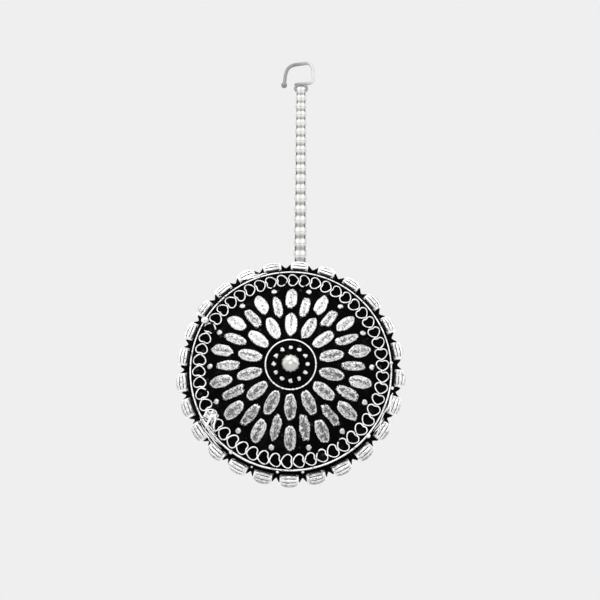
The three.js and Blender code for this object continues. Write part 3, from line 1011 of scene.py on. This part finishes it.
def link_bodies(sizes, number):
    """One link: a band with a seam along its middle, carried round a rounded square.

    The square is a superellipse of power four. The band's section is a rounded rectangle whose outer side
    dips in a narrow bell at the middle. Every other link is turned a quarter. Painted highlights lie at the
    link's bends and halfway along its sides, and painted shade in the seam and at the band's edges.
    """
    steps, sides = 56, 20
    t = np.arange(steps) / steps * TURN
    half_width, half_length = LINK_INNER_WIDTH / 2, (LINK_PITCH + LINK_GAP) / 2
    cos, sin = np.cos(t), np.sin(t)
    inner = np.stack([half_width * signed_power(cos, 0.5), half_length * signed_power(sin, 0.5)], -1)
    normal = np.stack([signed_power(cos, 1.5) / half_width, signed_power(sin, 1.5) / half_length], -1)
    normal /= np.linalg.norm(normal, axis=-1, keepdims=True)
    around = np.arange(sides) / sides * TURN
    wide = in_mm(sizes.band_width) / 2 * signed_power(np.cos(around), 0.55)
    out = in_mm(sizes.band_thickness) / 2 * (1 + signed_power(np.sin(around), 0.7))
    seam = np.exp(-((wide / 0.22) ** 2)) * np.clip(np.sin(around), 0, 1)
    out = out - in_mm(sizes.groove_depth) * seam
    flat = inner[:, None] + normal[:, None] * out[:, None]
    side, up = flat[..., 0], flat[..., 1] + FIRST_LINK_LEVEL - number * LINK_PITCH
    other = np.broadcast_to(wide, side.shape)
    pair = (other, side) if number % 2 == 0 else (side, other)
    # Painted light on the links: painted highlights at the bends and halfway along the sides, painted shade
    # in the seam and at the band's edges.
    bend = np.clip(np.abs(normal[:, 1]) * 1.4, 0, 1)[:, None] * np.ones(sides)
    edge = (np.abs(wide) / np.abs(wide).max()) ** 6
    middle = np.abs(normal[:, 0])[:, None] ** 60
    polish = np.clip(0.2 + 0.6 * middle + 0.6 * bend - 0.4 * seam - 0.3 * edge, 0, 1)
    return [body_from_grid(np.stack([*pair, up], -1)[None], ends="joined", polish=polish)]


def end_ring_bodies(sizes):
    """The round ring between the chain and the medallion's loop."""
    steps = np.arange(72) / 72 * TURN
    path = np.stack([np.cos(steps), 0 * steps, np.sin(steps)], -1) * END_RING_CENTRE_LINE
    path[:, 2] += END_RING_LEVEL
    return [tube(path, AWAY, in_mm(sizes.ring_wire), 12, closed=True, polish=0.8)]


def smooth_route(points, steps):
    """A smooth curve through points: cubic pieces whose slopes come from the neighbours on both sides."""
    points = np.asarray(points, float)
    gaps = np.linalg.norm(np.diff(points, axis=0), axis=1) ** 0.5
    knots = np.concatenate([[0], np.cumsum(gaps)])
    slopes = np.gradient(points, knots, axis=0)
    place = np.linspace(0, knots[-1], steps)
    piece = np.clip(np.searchsorted(knots, place, side="right") - 1, 0, len(gaps) - 1)
    step = gaps[piece][:, None]
    s = ((place - knots[piece]) / gaps[piece])[:, None]
    first, second = points[piece], points[piece + 1]
    rise = (2 * s**3 - 3 * s**2 + 1) * first + (3 * s**2 - 2 * s**3) * second
    return rise + step * ((s**3 - 2 * s**2 + s) * slopes[piece] + (s**3 - s**2) * slopes[piece + 1])


def hook_bodies(sizes):
    """The bent wire from its foot over the arch to the ball on its tip, and the eye under its foot."""
    knots = [(x * HOOK_WIDTH, 0, FOOT_LEVEL + z * HOOK_HEIGHT) for x, z in HOOK_ROUTE]
    route = smooth_route(knots, 120)
    across = np.pad(route[:, 0], 1, mode="edge")[None, :, None] / HOOK_WIDTH
    # Painted shade: the left leg of the hook is darker, and it grows lighter towards the right.
    polish = np.clip(0.35 + 0.9 * across, 0, 1)
    wire = tube(route, AWAY, in_mm(sizes.hook_wire), 14, polish=polish)
    steps = np.arange(48) / 48 * TURN
    eye = np.stack([np.cos(steps), 0 * steps, np.sin(steps)], -1) * EYE_CENTRE_LINE
    eye[:, 2] += EYE_LEVEL
    ring = tube(eye, AWAY, 2 * EYE_WIRE, 12, closed=True)
    foot = ball(knots[0], in_mm(sizes.hook_wire) / 2 * 1.02)
    return [wire, ball(knots[-1], in_mm(sizes.tip_ball)), foot, ring]


# The stage


def world_light(settings):
    """White room light: a flat backdrop for the eye, and a sky for the metal, dimmer above and in front."""
    world = bpy.data.worlds.new("Studio")
    bpy.context.scene.world = world
    world.use_nodes = True
    tree = world.node_tree
    shader = tree.nodes["Background"]
    direction = put(tree, "ShaderNodeTexCoord").outputs["Generated"]
    height = put(tree, "ShaderNodeSeparateXYZ", {"Vector": direction}).outputs["Z"]
    strength = settings.light_strength
    sky = ramp(tree, height, -0.4, 0.4, 1.4 * strength, 1.25 * strength)
    straight_ahead = (0, -0.985, -0.17)
    front = put(tree, "ShaderNodeVectorMath", {0: direction, 1: straight_ahead}, operation="DOT_PRODUCT")
    dimming = ramp(tree, front.outputs["Value"], 0.62, 0.92, 1.0, settings.front_dimming)
    sky = calc(tree, "MULTIPLY", sky, dimming)
    seen = put(tree, "ShaderNodeLightPath").outputs["Is Camera Ray"]
    flat = rgba(settings.backdrop)
    grey = put(tree, "ShaderNodeCombineColor", {0: sky, 1: sky, 2: sky}).outputs[0]
    tree.links.new(blend(tree, seen, grey, flat), shader.inputs["Color"])


def area_light(name, place, target, size, power):
    """A soft square light that looks at a point; place and target are in millimetres."""
    data = bpy.data.lights.new(name, "AREA")
    data.size, data.energy = size * MM, power
    light = bpy.data.objects.new(name, data)
    way = Vector(target) - Vector(place)
    turn = way.to_track_quat("-Z", "Y").to_matrix().to_4x4()
    light.matrix_world = Matrix.Translation(Vector(place) * MM) @ turn
    bpy.context.scene.collection.objects.link(light)


def place_camera(settings):
    """The photograph's camera: below and in front of the face, looking up, at a set distance from it."""
    ahead = Vector((0, math.cos(CAMERA_CLIMB), math.sin(CAMERA_CLIMB)))
    up = Vector((0, -math.sin(CAMERA_CLIMB), math.cos(CAMERA_CLIMB)))
    right = Vector((1, 0, 0))
    face = Vector(hung(np.array([[0, 0, CAMERA_AIM_LEVEL]]))[0])
    place = face + CAMERA_RIGHT * right + CAMERA_UP * up - in_mm(settings.camera_distance) * ahead
    turned_right = right * math.cos(CAMERA_ROLL) + up * math.sin(CAMERA_ROLL)
    turned_up = up * math.cos(CAMERA_ROLL) - right * math.sin(CAMERA_ROLL)
    data = bpy.data.cameras.new("Camera")
    data.lens, data.sensor_width, data.clip_start = settings.lens, 36.0, 0.001
    camera = bpy.data.objects.new("Camera", data)
    turn = Matrix((turned_right, turned_up, -ahead)).transposed().to_4x4()
    camera.matrix_world = Matrix.Translation(place * MM) @ turn
    bpy.context.scene.collection.objects.link(camera)
    bpy.context.scene.camera = camera


def floor(settings):
    """A wide pale floor: a flat round sheet, far below the piece."""
    look = bpy.data.materials.new("Floor")
    look.use_nodes = True
    tree = look.node_tree
    shader = tree.nodes["Principled BSDF"].inputs
    tone = ramp(tree, noise(tree, millimetres(tree, 0.01), 1.0), 0.3, 0.7, 0.97, 1.0)
    pale = blend(tree, tone, (0.0, 0.0, 0.0, 1.0), rgba(settings.floor_grey))
    tree.links.new(pale, shader["Base Color"])
    shader["Roughness"].default_value = 0.9
    radius, sides = 1.5, 96
    around = np.arange(sides) / sides * TURN
    level = -settings.floor_drop
    points = np.stack([radius * np.cos(around), radius * np.sin(around), np.full(sides, level)], -1)
    mesh = bpy.data.meshes.new("studio_floor")
    mesh.from_pydata(points.tolist(), [], [list(range(sides))])
    mesh.materials.append(look)
    sheet = bpy.data.objects.new("studio_floor", mesh)
    bpy.context.scene.collection.objects.link(sheet)


# Operators


class TikkaOperator(bpy.types.Operator):
    """Shared settings of the building steps."""

    bl_options = {"REGISTER", "UNDO"}


class TIKKA_OT_ground(TikkaOperator):
    """Build the blackened dome, band and drum, the horned flange and the sheet on the back"""

    bl_idname = "tikka.ground"
    bl_label = "Ground, flange and back"

    def execute(self, context):
        medallion_piece("dome_and_drum", ground_bodies(), black_ground("Black oxide"))
        medallion_piece("horned_flange", flange_bodies(), black_ground("Flange oxide"))
        medallion_piece("back_sheet", back_sheet_bodies(), dull_back("Dull back"))
        return {"FINISHED"}


class TIKKA_OT_petals(TikkaOperator):
    """Build the three rings of petals"""

    bl_idname = "tikka.petals"
    bl_label = "Petals"

    def execute(self, context):
        silver = rubbed_silver(
            "Petal silver", level=0.24, raggedness=1.5, pits=0.5, grey=0.85, softness=0.07, lengthwise=True
        )
        medallion_piece("petals", petal_bodies(context.scene.tikka_medallion), silver)
        return {"FINISHED"}


class TIKKA_OT_granules(TikkaOperator):
    """Build the grains and the boss"""

    bl_idname = "tikka.granules"
    bl_label = "Granules and boss"

    def execute(self, context):
        silver = rubbed_silver(
            "Granule silver", level=0.12, raggedness=0.6, pits=0.2, grey=0.35, softness=0.08, lengthwise=True
        )
        medallion_piece("granules", granule_bodies(), silver)
        smooth = plated("Boss silver", finishes().boss_silver, dark_share=0.7, roughness=0.1)
        medallion_piece("boss", boss_bodies(context.scene.tikka_medallion), smooth)
        return {"FINISHED"}


class TIKKA_OT_border(TikkaOperator):
    """Build the border of wire hearts, the rim wire and the ring round the boss"""

    bl_idname = "tikka.border"
    bl_label = "Wire border"

    def execute(self, context):
        sizes = context.scene.tikka_medallion
        silver = rubbed_silver("Wire silver", level=0.36, raggedness=0.9, pits=0.2, grey=0.5)
        medallion_piece("wire_hearts", heart_bodies(sizes), silver)
        rim_silver = rubbed_silver("Rim wire silver", level=0.42, raggedness=0.9, pits=0.3, grey=0.95)
        medallion_piece("rim_wire", rim_bodies(sizes), rim_silver)
        medallion_piece("centre_ring", centre_ring_bodies(sizes), silver)
        solder = rubbed_silver("Solder", level=0.3, raggedness=0.8, pits=0.4, grey=0.7)
        medallion_piece("solder", solder_bodies(sizes), solder)
        return {"FINISHED"}


class TIKKA_OT_beads(TikkaOperator):
    """Build the fluted beads round the rim"""

    bl_idname = "tikka.beads"
    bl_label = "Rim beads"

    def execute(self, context):
        silver = rubbed_silver(
            "Bead silver", level=0.3, raggedness=0.7, pits=0.25, grey=0.7, softness=0.1, lengthwise=True
        )
        medallion_piece("rim_beads", bead_bodies(context.scene.tikka_medallion), silver)
        return {"FINISHED"}


class TIKKA_OT_back_loop(TikkaOperator):
    """Build the soldered loop on the back"""

    bl_idname = "tikka.back_loop"
    bl_label = "Back loop"

    def execute(self, context):
        silver = plated("Loop silver", finishes().back_silver, dark_share=0.7, roughness=0.4)
        medallion_piece("back_loop", back_loop_bodies(), silver)
        return {"FINISHED"}


class TIKKA_OT_chain(TikkaOperator):
    """Build the chain's links and the end ring"""

    bl_idname = "tikka.chain"
    bl_label = "Chain"

    def execute(self, context):
        sizes = context.scene.tikka_chain
        plating = finishes().chain_silver
        silver = plated("Chain silver", plating, dark_share=0.64, roughness=0.3, metallic=0.35)
        for number in range(LINK_COUNT):
            node = f"link_{number + 1:02d}"
            make_piece(f"smooth_{node}", link_bodies(sizes, number), silver, "root", (node,))
        ring = end_ring_bodies(sizes)
        make_piece("smooth_end_ring", ring, silver, "root", ("end_ring",))
        return {"FINISHED"}


class TIKKA_OT_hook(TikkaOperator):
    """Build the hair hook with its ball and eye"""

    bl_idname = "tikka.hook"
    bl_label = "Hair hook"

    def execute(self, context):
        wire = plated("Hook wire", finishes().hook_steel, dark_share=0.45, roughness=0.4)
        make_piece("hair_hook", hook_bodies(context.scene.tikka_chain), wire, "root", ("hook",))
        return {"FINISHED"}


class TIKKA_OT_stage(TikkaOperator):
    """Set up the pale floor, the soft light and the camera"""

    bl_idname = "tikka.stage"
    bl_label = "Stage"

    def execute(self, context):
        settings = context.scene.tikka_stage
        context.scene.view_settings.view_transform = "Standard"
        world_light(settings)
        floor(settings)
        face = (-1.7, -4, -100)
        area_light("Key light", place=(-160, -320, 160), target=face, size=220, power=0.3)
        area_light("Fill light", place=(260, -260, 40), target=face, size=260, power=0.1)
        area_light("Low light", place=(-20, -330, -225), target=face, size=170, power=0.2)
        place_camera(settings)
        return {"FINISHED"}


STEPS = (
    TIKKA_OT_ground,
    TIKKA_OT_petals,
    TIKKA_OT_granules,
    TIKKA_OT_border,
    TIKKA_OT_beads,
    TIKKA_OT_back_loop,
    TIKKA_OT_chain,
    TIKKA_OT_hook,
    TIKKA_OT_stage,
)


class TIKKA_PT_panel(bpy.types.Panel):
    """Lists the building steps and the sizes and finishes that they use"""

    bl_idname = "TIKKA_PT_panel"
    bl_label = "Maang Tikka"
    bl_space_type = "VIEW_3D"
    bl_region_type = "UI"
    bl_category = "Maang Tikka"

    def draw(self, context):
        for step in STEPS:
            self.layout.operator(step.bl_idname)
        for group in SETTINGS:
            box = self.layout.box()
            settings = getattr(context.scene, group)
            for name in type(settings).__annotations__:
                box.prop(settings, name)


SETTINGS = {
    "tikka_medallion": MedallionSizes,
    "tikka_chain": ChainSizes,
    "tikka_finishes": Finishes,
    "tikka_stage": StageSettings,
}


def register():
    """Registers the settings, the steps and the panel."""
    for group in SETTINGS.values():
        bpy.utils.register_class(group)
    for name, group in SETTINGS.items():
        setattr(bpy.types.Scene, name, bpy.props.PointerProperty(type=group))
    for kind in (*STEPS, TIKKA_PT_panel):
        bpy.utils.register_class(kind)


def unregister():
    """Takes away what register added."""
    for kind in reversed((*STEPS, TIKKA_PT_panel)):
        bpy.utils.unregister_class(kind)
    for name, group in SETTINGS.items():
        delattr(bpy.types.Scene, name)
        bpy.utils.unregister_class(group)


def main():
    """Runs every step in order."""
    register()
    for step in STEPS:
        group, name = step.bl_idname.split(".")
        getattr(getattr(bpy.ops, group), name)()


if __name__ == "__main__":
    main()
